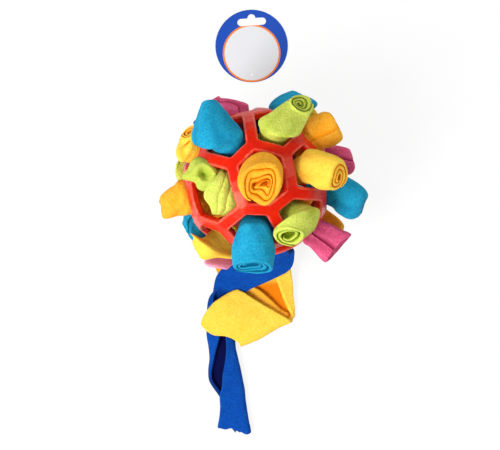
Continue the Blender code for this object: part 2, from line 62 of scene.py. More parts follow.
def smoothPath(points, t):  # a point on the smooth curve through the points, t from 0 to 1
    last = len(points) - 1
    k = min(int(t * last), last - 1)
    u = t * last - k
    p1, p2 = points[k], points[k + 1]
    p0 = points[k - 1] if k > 0 else p1 * 2 - p2
    p3 = points[k + 2] if k + 2 <= last else p2 * 2 - p1
    return (p1 * 2 + (p2 - p0) * u + (p0 * 2 - p1 * 5 + p2 * 4 - p3) * u * u
            + (p1 * 3 - p0 - p2 * 3 + p3) * u ** 3) / 2


def wander(point, scale, amount, seed):  # moves a point with soft noise, so cloth isn't exact
    return point + noise.noise_vector((point / scale) + Vector((seed, seed * 1.7, -seed))) * amount


def crumple(point, waves, seeds, slack=1):  # waves: the scale and amount of each, broad ones first
    for (scale, amount), seed in zip(waves, seeds):
        point = wander(point, scale, amount * slack, seed)
    return point


def makeMesh(name, points, faces, deep=()):  # deep: the painted shade at each point, 0 to 1, strongest inside folds
    mesh = bpy.data.meshes.new(name)
    mesh.from_pydata([tuple(p) for p in points], [], faces)
    if deep:
        mesh.attributes.new("deep", "FLOAT", "POINT").data.foreach_set("value", deep)
    piece = bpy.data.objects.new(name, mesh)
    bpy.context.scene.collection.objects.link(piece)
    fixed = bmesh.new()
    fixed.from_mesh(mesh)
    bmesh.ops.remove_doubles(fixed, verts=fixed.verts, dist=weld)
    bmesh.ops.recalc_face_normals(fixed, faces=fixed.faces)
    fixed.to_mesh(mesh)
    fixed.free()
    return piece


def onlySelect(piece):
    bpy.ops.object.select_all(action="DESELECT")
    piece.select_set(True)
    bpy.context.view_layer.objects.active = piece


def rounded(piece):  # one step of subdivision, applied, and smooth shading
    onlySelect(piece)
    rounder = piece.modifiers.new("rounder", "SUBSURF")
    rounder.levels = rounder.render_levels = 1
    bpy.ops.object.modifier_apply(modifier="rounder")
    bpy.ops.object.shade_smooth()


# parts of materials: each takes and gives sockets, so that they can be chained
def newMaterial(name):
    made = bpy.data.materials.new(name)
    made.use_nodes = True
    return made, made.node_tree.nodes, made.node_tree.links


def setInputs(node, settings):
    for socket, value in settings.items():
        node.inputs[socket].default_value = value


def addNoise(nodes, links, settings):  # noise in the piece's own coordinates
    texture = nodes.new("ShaderNodeTexNoise")
    setInputs(texture, settings)
    links.new(nodes.new("ShaderNodeTexCoord").outputs["Object"], texture.inputs["Vector"])
    return texture.outputs["Fac"]


def addAttribute(nodes, name):  # a value that the mesh carries at each point
    made = nodes.new("ShaderNodeAttribute")
    made.attribute_name = name
    return made.outputs["Fac"]


def addMath(nodes, links, operation, *terms):  # a term is a socket or a number
    made = nodes.new("ShaderNodeMath")
    made.operation = operation
    for socket, term in zip(made.inputs, terms):
        if isinstance(term, float):
            socket.default_value = term
        else:
            links.new(term, socket)
    return made.outputs["Value"]


def addRange(nodes, links, source, settings):
    made = nodes.new("ShaderNodeMapRange")
    setInputs(made, settings)
    links.new(source, made.inputs["Value"])
    return made.outputs["Result"]


def addRamp(nodes, links, source, positions, tones):
    made = nodes.new("ShaderNodeValToRGB")
    for element, position, tone in zip(made.color_ramp.elements, positions, tones):
        element.position = position
        element.color = (*tone, 1)
    links.new(source, made.inputs["Fac"])
    return made.outputs["Color"]


def addMix(nodes, links, share, first, second):  # the first is a socket or a tone, the second a tone
    made = nodes.new("ShaderNodeMix")
    made.data_type = "RGBA"
    links.new(share, made.inputs["Factor"])
    if isinstance(first, tuple):
        made.inputs["A"].default_value = (*first, 1)
    else:
        links.new(first, made.inputs["A"])
    made.inputs["B"].default_value = (*second, 1)
    return made.outputs["Result"]


def addBump(nodes, links, height, shader, settings):
    made = nodes.new("ShaderNodeBump")
    setInputs(made, settings)
    links.new(height, made.inputs["Height"])
    links.new(made.outputs["Normal"], shader.inputs["Normal"])


# each fleece's main colour, the tone of its raised fibres, and the tone of the painted shade and bounced
# light deep in its folds
fleeceTones = {
    "golden": ((0.84, 0.31, 0.012), (0.98, 0.52, 0.05), (0.98, 0.33, 0.006)),
    "yellow": ((0.80, 0.49, 0.030), (0.95, 0.68, 0.095), (0.80, 0.20, 0.002)),
    "lime": ((0.43, 0.51, 0.048), (0.72, 0.79, 0.17), (0.27, 0.36, 0.010)),
    "turquoise": ((0.002, 0.20, 0.38), (0.025, 0.42, 0.63), (0.001, 0.14, 0.28)),
    "pink": ((0.56, 0.040, 0.13), (0.84, 0.17, 0.32), (0.34, 0.012, 0.06)),
    "lightPink": ((0.84, 0.26, 0.44), (0.97, 0.45, 0.62), (0.60, 0.10, 0.22)),
    "royalBlue": ((0.0006, 0.034, 0.25), (0.001, 0.085, 0.42), (0.0004, 0.0015, 0.045)),
}
fleeceValues = {
    "tuft": {"Scale": 620, "Detail": 4, "Roughness": 0.62},  # the clumps of the pile, about 1.5 mm
    "cloud": {"Scale": 120, "Detail": 3},  # slow patches, brushed one way or the other
    "tuftShare": 0.75, "cloudShare": 0.28, "rampAt": (0.32, 0.76),
    "bump": {"Strength": 0.75, "Distance": 1.1 * mm},
    "surface": {"Roughness": 0.95, "Specular IOR Level": 0.12,
                "Sheen Weight": 0.12, "Sheen Roughness": 0.55},
}


def fleece(name, tones, values):
    made, nodes, links = newMaterial(name)
    shader = nodes["Principled BSDF"]
    tuft = addNoise(nodes, links, values["tuft"])
    cloud = addNoise(nodes, links, values["cloud"])
    patches = addMath(nodes, links, "MULTIPLY", cloud, values["cloudShare"])
    pile = addMath(nodes, links, "MULTIPLY_ADD", tuft, values["tuftShare"], patches)
    raised = addRamp(nodes, links, pile, values["rampAt"], tones[:2])
    # painted shade: the deep attribute mixes the colour towards the third tone in folds and crevices
    shaded = addMix(nodes, links, addAttribute(nodes, "deep"), raised, tones[2])
    links.new(shaded, shader.inputs["Base Color"])
    addBump(nodes, links, tuft, shader, values["bump"])
    setInputs(shader, values["surface"])
    shader.inputs["Sheen Tint"].default_value = (*tones[1], 1)
    return made


fleeces = {name: fleece(name + "Fleece", tones, fleeceValues) for name, tones in fleeceTones.items()}
print("fleeces made")


# the lattice ball; each rim is lightened by a painted highlight, most where its points stand out by rimTurn
# from those beside them
ballValues = {
    "voxel": 0.65 * mm, "softenSteps": 4, "soften": 0.5, "rimFrom": 55 * mm, "rimTurn": 0.10 * mm,
    "tones": ((0.60, 0.008, 0.002), (0.72, 0.018, 0.003)), "rampAt": (0.3, 0.7),
    "cloud": {"Scale": 70, "Detail": 4}, "grain": {"Scale": 260, "Detail": 5},
    "rimHighlightRange": {"From Min": 0.15, "To Max": 0.8}, "rimHighlightTone": (0.95, 0.30, 0.20),
    "dullness": {"To Min": 0.20, "To Max": 0.36}, "bump": {"Strength": 0.12, "Distance": 0.6 * mm},
    "surface": {"Subsurface Weight": 0.12, "Subsurface Radius": (0.004, 0.0008, 0.0004),
                "Subsurface Scale": 1.0, "IOR": 1.48, "Specular Tint": (1.0, 0.60, 0.42, 1)},
}


def rubber(values):
    made, nodes, links = newMaterial("redRubber")
    shader = nodes["Principled BSDF"]
    red = addRamp(nodes, links, addNoise(nodes, links, values["cloud"]), values["rampAt"], values["tones"])
    # painted highlight: the outer rims are mixed towards a light pink
    rim = addRange(nodes, links, addAttribute(nodes, "rim"), values["rimHighlightRange"])
    links.new(addMix(nodes, links, rim, red, values["rimHighlightTone"]), shader.inputs["Base Color"])
    grain = addNoise(nodes, links, values["grain"])
    links.new(addRange(nodes, links, grain, values["dullness"]), shader.inputs["Roughness"])
    addBump(nodes, links, grain, shader, values["bump"])
    setInputs(shader, values["surface"])
    return made


def markRimHighlights(mesh, values):  # how sharply the outer side turns at each point, which sets its painted highlight
    form = bmesh.new()
    form.from_mesh(mesh)
    turns = []
    for point in form.verts:
        beside = [edge.other_vert(point).co for edge in point.link_edges]
        turn = (point.co - sum(beside, Vector()) / len(beside)).dot(point.normal)
        outside = (point.co - ballCentre).length > values["rimFrom"]
        turns.append(max(0, turn) / values["rimTurn"] if outside else 0)
    form.free()
    mesh.attributes.new("rim", "FLOAT", "POINT").data.foreach_set("value", turns)


def latticeBall(values):
    source = bpy.data.objects["lattice_ball"]
    ball = source.copy()
    ball.data = source.data.copy()
    ball.name = "rubberLattice"
    for key in list(ball.keys()):
        del ball[key]
    bpy.context.scene.collection.objects.link(ball)
    ball.parent = None
    ball.matrix_world = Matrix.Identity(4)
    onlySelect(ball)
    bpy.ops.object.mode_set(mode="EDIT")
    bpy.ops.mesh.select_all(action="SELECT")
    bpy.ops.mesh.remove_doubles(threshold=weld)
    bpy.ops.object.mode_set(mode="OBJECT")
    remesh = ball.modifiers.new("remesh", "REMESH")
    remesh.mode = "VOXEL"
    remesh.voxel_size = values["voxel"]
    bpy.ops.object.modifier_apply(modifier="remesh")
    soften = ball.modifiers.new("soften", "SMOOTH")
    soften.factor = values["soften"]
    soften.iterations = values["softenSteps"]
    bpy.ops.object.modifier_apply(modifier="soften")
    bpy.ops.object.shade_smooth()
    markRimHighlights(ball.data, values)
    ball.data.materials.clear()
    ball.data.materials.append(rubber(values))
    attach(ball, "ball")
    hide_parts("lattice_ball")


latticeBall(ballValues)
print("lattice ball made")


# the rolled strips
rollShared = {  # what all rolls have alike
    "inside": 37.5 * mm, "wallIn": 50.5 * mm, "wallOut": 56 * mm,  # from the ball's centre
    "overRim": 3.4 * mm, "rise": 9 * mm,  # past wallOut: the rim, and a middle that isn't given
    "endStep": 3 * mm, "turnedShare": 0.4,  # from the tip to the station before, and the middle's turn
    "looseShares": (0, 0, 0.1, 0.3, 0.8, 1, 1),  # how far the loose form counts at each station
    "rings": 17, "endRingShares": (0.9, 0.35),  # even rings, and two closer to the tip
    "perTurn": 20, "layer": 4.0 * mm, "gap": 0.35 * mm, "innerGap": 0.75 * mm,  # the wound band
    "gapTempo": 1.7, "thinnestShare": 0.1,  # how fast its gap changes, and its least thickness
    "lip": 1.3 * mm, "lipShares": (1, 0.35),  # how far it thins at the tip and at the ring before
    "taper": 0.3, "pressedShare": 0.7,  # over how much of a turn its cut end thins, and how far
    "softened": 9 * mm, "lumpy": 0.05, "squashPower": 0.8, "eyePower": 1.5,
    "stiffShare": 0.15, "waves": ((13 * mm, 1.6 * mm), (5 * mm, 0.6 * mm)),
    "pleats": 5, "pleatDeep": 2.0 * mm, "pleatAtShare": 0.52, "pleatOverShare": 0.2,
    # painted shade: darker in the pinched creases, on the inner turns, and within the wall
    "creaseShade": 0.55, "innerShade": 0.8, "shadeUpToShare": 0.28,
}
# seat and faces: degrees from +Z and from +X; tip and middle: the same, and mm from the ball's centre;
# neck, body and end: radii in mm; bulge: of the neck, over the rim; flat, innerFlat and turn: how far the
# outer and the inner turns are squashed, and at what angle; turns and way: how it is wound; dish, wave,
# swirl, eye and sunk: mm; open: how wide its gaps are; lean: of the middle; pleat and twist: its creases;
# soft: how far its end is turned in; shade: how much painted shade it has within the wall
rollDefaults = {
    "middle": None, "flat": 1.0, "innerFlat": 0.8, "turn": 0, "turns": 3.2, "way": 1, "dish": 1.0,
    "wave": 1.0, "swirl": 4.2, "eye": (0, 0), "open": 0.6, "lean": 0.4, "bulge": 1.12, "pleat": 0.8,
    "twist": 6.0, "soft": 0.15, "sunk": 0, "shade": 0.5,
}
rollValues = {
    "roll_centre": {
        "tone": "golden", "seat": (5.1, 42.5), "neck": 15.6, "tip": (4.6, -60, 71.5), "faces": (7, -60),
        "body": 18.4, "end": 18.2, "seed": 1, "innerFlat": 0.5, "turn": 20, "turns": 3.8, "dish": 3.2,
        "wave": 3.0, "swirl": 2.2, "eye": (2.6, 0), "open": 0.8, "lean": 0.7, "pleat": 0.3, "soft": 0.1,
    },
    "roll_top": {
        "tone": "lime", "seat": (44.9, 70.8), "neck": 14.0, "middle": (44, 63.5, 67),
        "tip": (57.5, 59.5, 77), "faces": (38, 50), "body": 15.8, "end": 12.0, "seed": 2,
        "innerFlat": 0.75, "turn": 70, "turns": 3.1, "dish": 3.5, "wave": 1.6, "open": 0.5, "soft": 0.1,
    },
    "roll_upper_right": {
        "tone": "yellow", "seat": (43.3, 11.5), "neck": 14.2, "tip": (49, 1, 76.1), "faces": (50, -28),
        "body": 16.4, "end": 14.8, "seed": 3, "flat": 0.95, "turn": 20, "turns": 2.9, "way": -1,
        "dish": -1.0, "open": 0.3, "pleat": 0.5,
    },
    "roll_lower_right": {
        "tone": "lime", "seat": (53, -42), "neck": 15.4, "middle": (44.8, -48, 64.5),
        "tip": (42.8, -61, 70.6), "faces": (46, -100), "body": 17.4, "end": 13.6, "seed": 4,
        "innerFlat": 0.7, "turn": 60, "turns": 2.2, "dish": 4.0, "wave": 2.4,
    },
    "roll_bottom": {
        "tone": "turquoise", "seat": (43.9, -94.3), "neck": 14.9, "tip": (54.5, -94, 78),
        "faces": (66, -93), "body": 19.2, "end": 18.8, "seed": 5, "flat": 0.85, "innerFlat": 0.5,
        "turns": 2.9, "way": -1, "dish": 2.0, "wave": 2.6, "pleat": 0.5, "soft": 0.1,
    },
    "roll_upper_left": {
        "tone": "turquoise", "seat": (43.3, 126.7), "neck": 15.0, "middle": (48, 133.5, 64),
        "tip": (57.4, 122.3, 79.5), "faces": (88, 105), "body": 19.6, "end": 9.5, "seed": 6,
        "flat": 0.9, "turn": 20, "turns": 3.0, "dish": 0, "bulge": 1.0, "pleat": 1.2, "twist": 3.0,
        "soft": 0.5,
    },
    "roll_left": {
        "tone": "lime", "seat": (41, -156), "neck": 9.0, "middle": (41, -156, 47),
        "tip": (42, -156, 51), "faces": (41, -156), "body": 9.0, "end": 8.0, "seed": 7, "flat": 0.85,
        "turn": 70, "turns": 1.8, "way": -1, "wave": 1.5, "sunk": 14,
    },
    "roll_top_rim": {
        "tone": "pink", "seat": (86.3, 108.7), "neck": 17.0, "tip": (84, 118.5, 72), "faces": (74, 122),
        "body": 12.0, "end": 10.6, "seed": 8, "turns": 2.8, "bulge": 1.0,
    },
    "roll_far_left": {
        "tone": "yellow", "seat": (77.6, 150.8), "neck": 15.5, "tip": (73, 143, 66), "faces": (45, 130),
        "body": 14.6, "end": 11.4, "seed": 9, "turns": 2.6, "way": -1, "dish": 2.5, "open": 0.4,
        "soft": 0.3,
    },
    "roll_outer_left": {
        "tone": "golden", "seat": (85.0, -167.2), "neck": 16.6, "tip": (86, -166, 76),
        "faces": (75, -176), "body": 14.0, "end": 13.2, "seed": 10, "open": 0.3, "bulge": 1.0,
        "pleat": 1.2, "twist": 15, "soft": 0.45,
    },
    "roll_under_left": {
        "tone": "lime", "seat": (116.6, 170.0), "neck": 12.1, "tip": (112, 167, 68.7),
        "faces": (105, 160), "body": 15.0, "end": 13.0, "seed": 11, "flat": 0.85, "open": 0.3,
        "soft": 0.4,
    },
    "roll_under_lower_left": {
        "tone": "turquoise", "seat": (119.3, -151.1), "neck": 12.9, "tip": (113, -142, 72),
        "faces": (105, -142), "body": 16.6, "end": 15.0, "seed": 12, "flat": 0.9, "way": -1,
    },
    "roll_lower_left": {
        "tone": "yellow", "seat": (84.7, -119.9), "neck": 15.0, "middle": (76, -129, 65),
        "tip": (81, -130.5, 71), "faces": (84, -150), "body": 17.2, "end": 12.6, "seed": 31,
        "flat": 0.95, "innerFlat": 0.5, "turn": 30, "open": 0.25, "bulge": 1.2, "pleat": 0.5,
        "twist": 9, "soft": 0.4, "shade": 0.05,
    },
    "roll_under_bottom": {
        "tone": "lightPink", "seat": (136.3, -105.2), "neck": 16.4, "tip": (108, -116, 78),
        "faces": (94, -108), "body": 13.6, "end": 12.6, "seed": 14, "flat": 0.85,
    },
    "roll_far_upper_right": {
        "tone": "golden", "seat": (73.5, 39.6), "neck": 14.9, "tip": (75, 36, 77), "faces": (82, 30),
        "body": 16.2, "end": 15.0, "seed": 15, "flat": 0.95, "way": -1, "open": 0.3, "pleat": 1.3,
        "twist": 9, "soft": 0.45,
    },
    "roll_under_top": {
        "tone": "yellow", "seat": (127.7, 77.6), "neck": 13.8, "tip": (115, 53, 80.5),
        "faces": (108, 45), "body": 14.2, "end": 12.4, "seed": 16, "open": 0.3, "soft": 0.4,
    },
    "roll_top_right_rim": {
        "tone": "turquoise", "seat": (92.2, 71.3), "neck": 11.6, "tip": (94, 62, 77.5),
        "faces": (82, 70), "body": 16.8, "end": 16.4, "seed": 17, "flat": 0.9, "way": -1, "open": 0.15,
        "soft": 0.5,
    },
    "roll_under_right": {
        "tone": "pink", "seat": (121.8, 28.7), "neck": 17.5, "tip": (109, 15, 82.5), "faces": (100, 12),
        "body": 15.6, "end": 14.6, "seed": 18, "way": -1, "open": 0.3, "soft": 0.45,
    },
    "roll_far_right": {
        "tone": "turquoise", "seat": (88.3, -2.0), "neck": 17.5, "tip": (84, -12, 83.5),
        "faces": (80, -22), "body": 17.8, "end": 16.8, "seed": 19, "flat": 0.9, "open": 0.3,
        "pleat": 1.2, "soft": 0.5,
    },
    "roll_under_lower_right": {
        "tone": "golden", "seat": (138.4, -28.1), "neck": 17.0, "tip": (112, -31, 83),
        "faces": (108, -23), "body": 15.0, "end": 13.4, "seed": 20, "open": 0.3, "soft": 0.45,
    },
    "roll_far_lower_right": {
        "tone": "pink", "seat": (99.0, -39.6), "neck": 13.2, "tip": (95, -38.5, 82.5),
        "faces": (76, -44), "body": 14.4, "end": 17.0, "seed": 21, "flat": 0.8, "way": -1, "dish": 2.5,
        "wave": 2.0, "open": 0.4, "pleat": 1.8, "twist": 3, "soft": 0.1,
    },
    "strip_end": {
        "tone": "royalBlue", "seat": (124.3, 127.2), "neck": 12.0, "tip": (106, 131, 73.5),
        "faces": (100, 135), "body": 9.9, "end": 10.2, "seed": 22, "flat": 0.6, "turns": 2.0,
    },
    "roll_foot": {
        "tone": "lime", "seat": (173.0, 134.1), "neck": 17.5, "tip": (176.84, -108.4, 71.6),
        "faces": (180, 0), "body": 15.4, "end": 14.6, "seed": 23, "dish": 0.5, "wave": 0.0,
    },
}


def sectionPoint(angle, share, radius, values, loose):
    # a place in a roll's section: share 0 is its eye and 1 its outside, loose how far its form counts
    shared, seed = rollShared, values["seed"]
    turn = math.radians(values["turn"])
    lumps = math.cos(2 * angle + seed * 2.1) + math.cos(3 * angle + seed)
    reach = radius * share * (1 + shared["lumpy"] * loose * lumps)
    x, y = math.cos(angle - turn) * reach, math.sin(angle - turn) * reach
    outwards = min(1, share) ** shared["squashPower"]
    squash = values["innerFlat"] + (values["flat"] - values["innerFlat"]) * outwards
    y *= 1 + (squash - 1) * loose
    y += math.sin(x / (values["swirl"] * mm) + seed) * values["wave"] * mm * loose * max(0, 1 - share ** 2)
    place = Vector((x * math.cos(turn) - y * math.sin(turn), x * math.sin(turn) + y * math.cos(turn)))
    return place + Vector(values["eye"]) * mm * loose * max(0, 1 - share) ** shared["eyePower"]


def spiralEdges(radius, values, thin, loose):  # the band's outer and inner edge, from the eye outwards
    shared, turns = rollShared, values["turns"]
    pitch = shared["layer"] * radius / (values["body"] * mm)
    thin *= min(1, radius / (values["body"] * mm))
    outer, inner = [], []
    for k in range(round(turns * shared["perTurn"]) + 1):
        turned = k / shared["perTurn"]
        angle = math.tau * turned * values["way"]
        reach = radius - pitch * (turns - turned)
        uneven = 2 * (0.5 + noise.noise(Vector((turned * shared["gapTempo"], values["seed"], 0))))
        gap = (shared["gap"] + shared["innerGap"] * (1 - reach / radius)) * values["open"] * uneven ** 2
        under = max(reach - pitch + gap, pitch * shared["thinnestShare"])
        ending = max(0, 1 - (turns - turned) / shared["taper"])  # the cut end lies pressed on
        reach -= (reach - under) * shared["pressedShare"] * ending ** 2
        middle = (reach + under) / 2
        outer.append(sectionPoint(angle, max(reach - thin, middle) / radius, radius, values, loose))
        inner.append(sectionPoint(angle, min(under + thin, middle) / radius, radius, values, loose))
    return outer, inner


def rollStations(values):  # along the roll: centre, way, radius and how far its loose form counts
    shared = rollShared
    seat, faces = look(*values["seat"]), look(*values["faces"])
    tip = fromBall(*values["tip"])
    neck, body, end = (values[key] * mm for key in ("neck", "body", "end"))
    out, sunk = shared["wallOut"], values["sunk"] * mm
    middle = seat * (out + shared["rise"]) + (tip - seat * tip.dot(seat)) * values["lean"]
    if values["middle"]:
        middle = fromBall(*values["middle"])
    stations = (
        (seat * (shared["inside"] - sunk), seat, neck * shared["inside"] / out),
        (seat * (shared["wallIn"] - sunk), seat, neck * shared["wallIn"] / out),
        (seat * (out - sunk), seat, neck),
        (seat * (out + shared["overRim"] - sunk), seat, neck * values["bulge"]),
        (middle, seat.slerp(faces, shared["turnedShare"]), body),
        (tip - faces * shared["endStep"], faces, end),
        (tip, faces, end),
    )
    return [(*station, loose) for station, loose in zip(stations, shared["looseShares"])]


def oneRing(values, t, fromTip, centre, side, way, radius, loose):
    # the ring's points and the painted shade at each; fromTip counts the rings between it and the tip
    shared, seed = rollShared, values["seed"]
    thin = shared["lip"] * shared["lipShares"][fromTip] if fromTip < len(shared["lipShares"]) else 0
    outer, inner = spiralEdges(radius, values, thin, loose)
    pinched = math.exp(-((t - shared["pleatAtShare"]) / shared["pleatOverShare"]) ** 2)
    pinched *= values["pleat"] * shared["pleatDeep"]
    shaded = values["shade"] if t < shared["shadeUpToShare"] else 0
    slack = shared["stiffShare"] + (1 - shared["stiffShare"]) * loose
    ring, deep = [], []
    for k, flat in enumerate(outer + inner[::-1]):
        outermost = 0 <= len(outer) - 1 - k < shared["perTurn"]
        depth = 1 - min(1, flat.length / radius)
        around = shared["pleats"] * math.atan2(flat.y, flat.x) + seed + values["twist"] * t
        crease = (0.5 + 0.5 * math.cos(around)) ** 3
        flat = flat * (1 - pinched * crease / radius)
        sunk = -values["dish"] * mm * depth * loose ** 3
        place = centre + side * flat.x + way.cross(side) * flat.y + way * sunk
        ring.append(crumple(place, shared["waves"], (seed, -seed), slack) + ballCentre)
        # painted shade: darker in the pinched creases and within the wall, and on inner turns the further
        # they lie from the tip
        paintedShade = shared["creaseShade"] * crease * min(1, pinched / mm) + shaded
        deep.append(paintedShade if outermost else min(1, fromTip * shared["innerShade"]))
    return ring, deep


def rollRings(values):  # from the inner end to the tip: each ring's points, and the painted shade at each point
    shared, stations = rollShared, rollStations(values)
    last, count = len(stations) - 1, shared["rings"]
    steps = [k / count for k in range(count)]
    steps += [1 - share / count for share in shared["endRingShares"]] + [1]
    facing = stations[0][1]
    side = facing.cross(Vector((0, 0, 1))).normalized()
    rings = []
    for step, t in enumerate(steps):
        k = min(int(t * last), last - 1)
        way = stations[k][1].slerp(stations[k + 1][1], t * last - k)
        side = (facing.rotation_difference(way) @ side).normalized()
        facing = way
        centre = smoothPath([row[0] for row in stations], t)
        radius, loose, _ = smoothPath([Vector((row[2], row[3], 0)) for row in stations], t)
        near = 1 - min(1, (stations[last][0] - centre).length / shared["softened"])
        radius *= 1 - values["soft"] * (1 - math.sqrt(1 - near ** 2))  # the end is turned in a little
        fromTip = len(steps) - 1 - step
        rings.append(oneRing(values, t, fromTip, centre, side, way, radius, min(1, max(0, loose))))
    return rings


def rolledStrip(name, values):
    values = {**rollDefaults, **values}
    rings = rollRings(values)
    count, last = len(rings[0][0]), len(rings) - 1
    points = [place for ring, _ in rings for place in ring]
    deep = [value for _, ring in rings for value in ring]
    faces = []
    for r in range(last):
        for k in range(count):
            near, far = r * count + k, r * count + (k + 1) % count
            faces.append((near, far, far + count, near + count))
    for base in (0, last * count):  # the band's two edges
        for k in range(count // 2 - 1):
            faces.append((base + k, base + k + 1, base + count - 2 - k, base + count - 1 - k))
    pieceName = name.replace("roll_", "rolled_").replace("strip_", "rolled_strip_")
    piece = makeMesh(pieceName, points, faces, deep)
    rounded(piece)
    piece.data.materials.append(fleeces[values["tone"]])
    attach(piece, "ball" if name == "strip_end" else name.replace("roll_", "") + "_roll")
    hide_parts(name)


for rollName, oneRoll in rollValues.items():
    rolledStrip(rollName, oneRoll)
print("rolled strips made")


# the two wide strips: each is one cloth, from inside the ball over the hinge to its cut end
stripShared = {
    "width": 38 * mm, "thick": 2.7 * mm, "step": 3.4 * mm, "foldRound": 1.7 * mm, "aboveTable": 0.1 * mm,
    "markShares": (0, 0.24, 0.27, 0.30, 0.62, 0.65, 0.68, 1),  # the marks across a row without folds
    "columns": (10, 1, 1, 11, 1, 1, 12),  # how many columns lie between one mark and the next
    "parts": (0, 0, 1, 1, 1, 2, 2),  # which of the row's three painted shades they take
    # the strips inside the ball get a painted shade of 0.4
    "gathered": 9.5 * mm, "innerWall": 51.2 * mm, "insideShade": 0.4,
    "pleats": 3, "pleatDeep": 3.2 * mm, "waves": ((26 * mm, 1.3 * mm), (7 * mm, 0.45 * mm)),
    "bendFrom": (0, -0.078, 0.0088), "bendTo": (0, -0.091, 0.0088), "aheadShare": 0.002,
}
insideWay = Vector((0.267, -0.964, 0))  # the level way in which the strips turn inside the ball
entryWay = Vector((-0.500, 0.658, -0.563))
exitWay = Vector((0.254, -0.917, -0.306))
exitSide = Vector((0, 0, 1)).cross(exitWay).normalized()
exitUp = exitWay.cross(exitSide).normalized()
cameraValues = {
    "place": Vector((-5.385, -32.70, 761.5)), "lens": 64.57, "sensor": 36,  # in mm
    "pixels": 896.87, "photoMiddle": (250, 225), "clip": 10 * mm,  # pixels: the lens, in the photo's pixels
}


def atPixel(px, py, height):  # the place seen at a pixel of the photo, at a height in mm
    place, middle = cameraValues["place"], cameraValues["photoMiddle"]
    scale = (place.z - height) / cameraValues["pixels"]
    return Vector((place.x + (px - middle[0]) * scale, place.y - (py - middle[1]) * scale, height)) * mm


# a row is its places, the painted shade of its three parts, and how much it is pleated
def gatheredRow(middle, width, paintedShade, pleat):  # width is a share of the gathered width
    half = exitSide * stripShared["gathered"] * width
    return (middle - half, middle + half), (paintedShade, paintedShade, paintedShade), pleat


def entryRow(reach, width):  # the row that the strip starts with, so far from the ball's centre
    return gatheredRow(ballCentre + entryWay * reach, width, stripShared["insideShade"], 1)


def insideRow(angle, reach, width):  # a row that follows the ball's inner wall, by degrees from +Z
    turned = math.radians(angle)
    way = insideWay * math.sin(turned) + Vector((0, 0, math.cos(turned)))
    middle = ballCentre + way * stripShared["innerWall"] * reach
    return gatheredRow(middle, width, stripShared["insideShade"], 1)


def exitRow(reach, above, pleat):  # a row on the way out, in ball radii and mm above that way
    return gatheredRow(ballCentre + exitWay * ballRadius * reach + exitUp * above * mm, 1, 0, pleat)


def laidRow(deep, *places):  # a row on the table, by pixels and heights
    return tuple(atPixel(*place) for place in places), deep, 0


def eightMarks(row):  # a row's flap, fold, middle, fold and flap, whether it is folded or not
    if len(row) == 2:
        return [row[0].lerp(row[1], share) for share in stripShared["markShares"]]
    turn = stripShared["foldRound"]
    rise = Vector((0, 0, turn))
    flap, left, right = row[:3]
    toRight = (right - left).normalized() * turn
    marks = [flap, left + toRight + rise, left, left + toRight - rise]
    if len(row) == 5:  # one flap, and a crease in the layer under it
        return marks + [right, (right + row[3]) / 2, row[3], row[4]]
    return marks + [right - toRight - rise, right, right - toRight + rise, row[3]]


def stripGrid(rows):  # lines of places across the strip, and the painted shade at each place
    shared, last = stripShared, len(rows) - 1
    marks = [eightMarks(places) for places, _, _ in rows]
    paintedShadeRows = [Vector(deep) for _, deep, _ in rows]
    pleats = [pleat for _, _, pleat in rows]
    middles = [sum(row, Vector()) / len(row) for row in marks]
    lines, shades = [], []
    for k in range(last):
        steps = max(2, round((middles[k + 1] - middles[k]).length / shared["step"]))
        for step in range(steps + (k == last - 1)):
            share = step / steps
            t = (k + share) / last
            here = [smoothPath([row[c] for row in marks], t) for c in range(len(marks[0]))]
            after, before = min(1, t + shared["aheadShare"]), max(0, t - shared["aheadShare"])
            ahead = smoothPath(middles, after) - smoothPath(middles, before)
            up = (here[-1] - here[0]).cross(ahead).normalized()
            deep = paintedShadeRows[k].lerp(paintedShadeRows[k + 1], share)
            lift = (pleats[k] + (pleats[k + 1] - pleats[k]) * share) * shared["pleatDeep"]
            line, shade = [], []
            for c, (count, part) in enumerate(zip(shared["columns"], shared["parts"])):
                line += [here[c].lerp(here[c + 1], i / count) for i in range(count)]
                shade += [deep[part]] * count
            line.append(here[-1])
            shade.append(deep[2])
            for i, place in enumerate(line):
                place += up * math.sin(i / (len(line) - 1) * math.tau * shared["pleats"]) * lift
            lines.append(line)
            shades.append(shade)
    return lines, shades


def clothFrom(name, lines, shades, tone, closed=False):  # a cloth of even thickness round a grid of places
    rows, across, half = len(lines), len(lines[0]), stripShared["thick"] / 2
    points, faces, deep = [], [], []
    for side in (1, -1):
        for r, line in enumerate(lines):
            for c, place in enumerate(line):
                before, after = max(c - 1, 0), min(c + 1, across - 1)
                if closed:
                    before, after = c - 1, (c + 1) % across
                along = lines[min(r + 1, rows - 1)][c] - lines[max(r - 1, 0)][c]
                over = line[after] - line[before]
                points.append(place + over.cross(along).normalized() * half * side)
                deep.append(shades[r][c])
    count = rows * across
    for r in range(rows - 1):
        for c in range(across if closed else across - 1):
            near, beside = r * across + c, r * across + (c + 1) % across
            quad = (near, beside, beside + across, near + across)
            faces.append(quad)
            faces.append(tuple(count + k for k in reversed(quad)))
    borders = [[(r, c) for c in range(across)] for r in (0, rows - 1)]
    if not closed:  # one border all round
        borders[0] += [(r, across - 1) for r in range(1, rows)]
        borders[0] += [(rows - 1, c) for c in range(across - 2, -1, -1)]
        borders[0] += [(r, 0) for r in range(rows - 2, 0, -1)]
        borders.pop()
    for border in borders:
        for k, (r, c) in enumerate(border):
            r2, c2 = border[(k + 1) % len(border)]
            a, b = r * across + c, r2 * across + c2
            faces.append((a, b, count + b, count + a))
    piece = makeMesh(name, points, faces, deep)
    rounded(piece)
    piece.data.materials.append(fleeces[tone])
    return piece


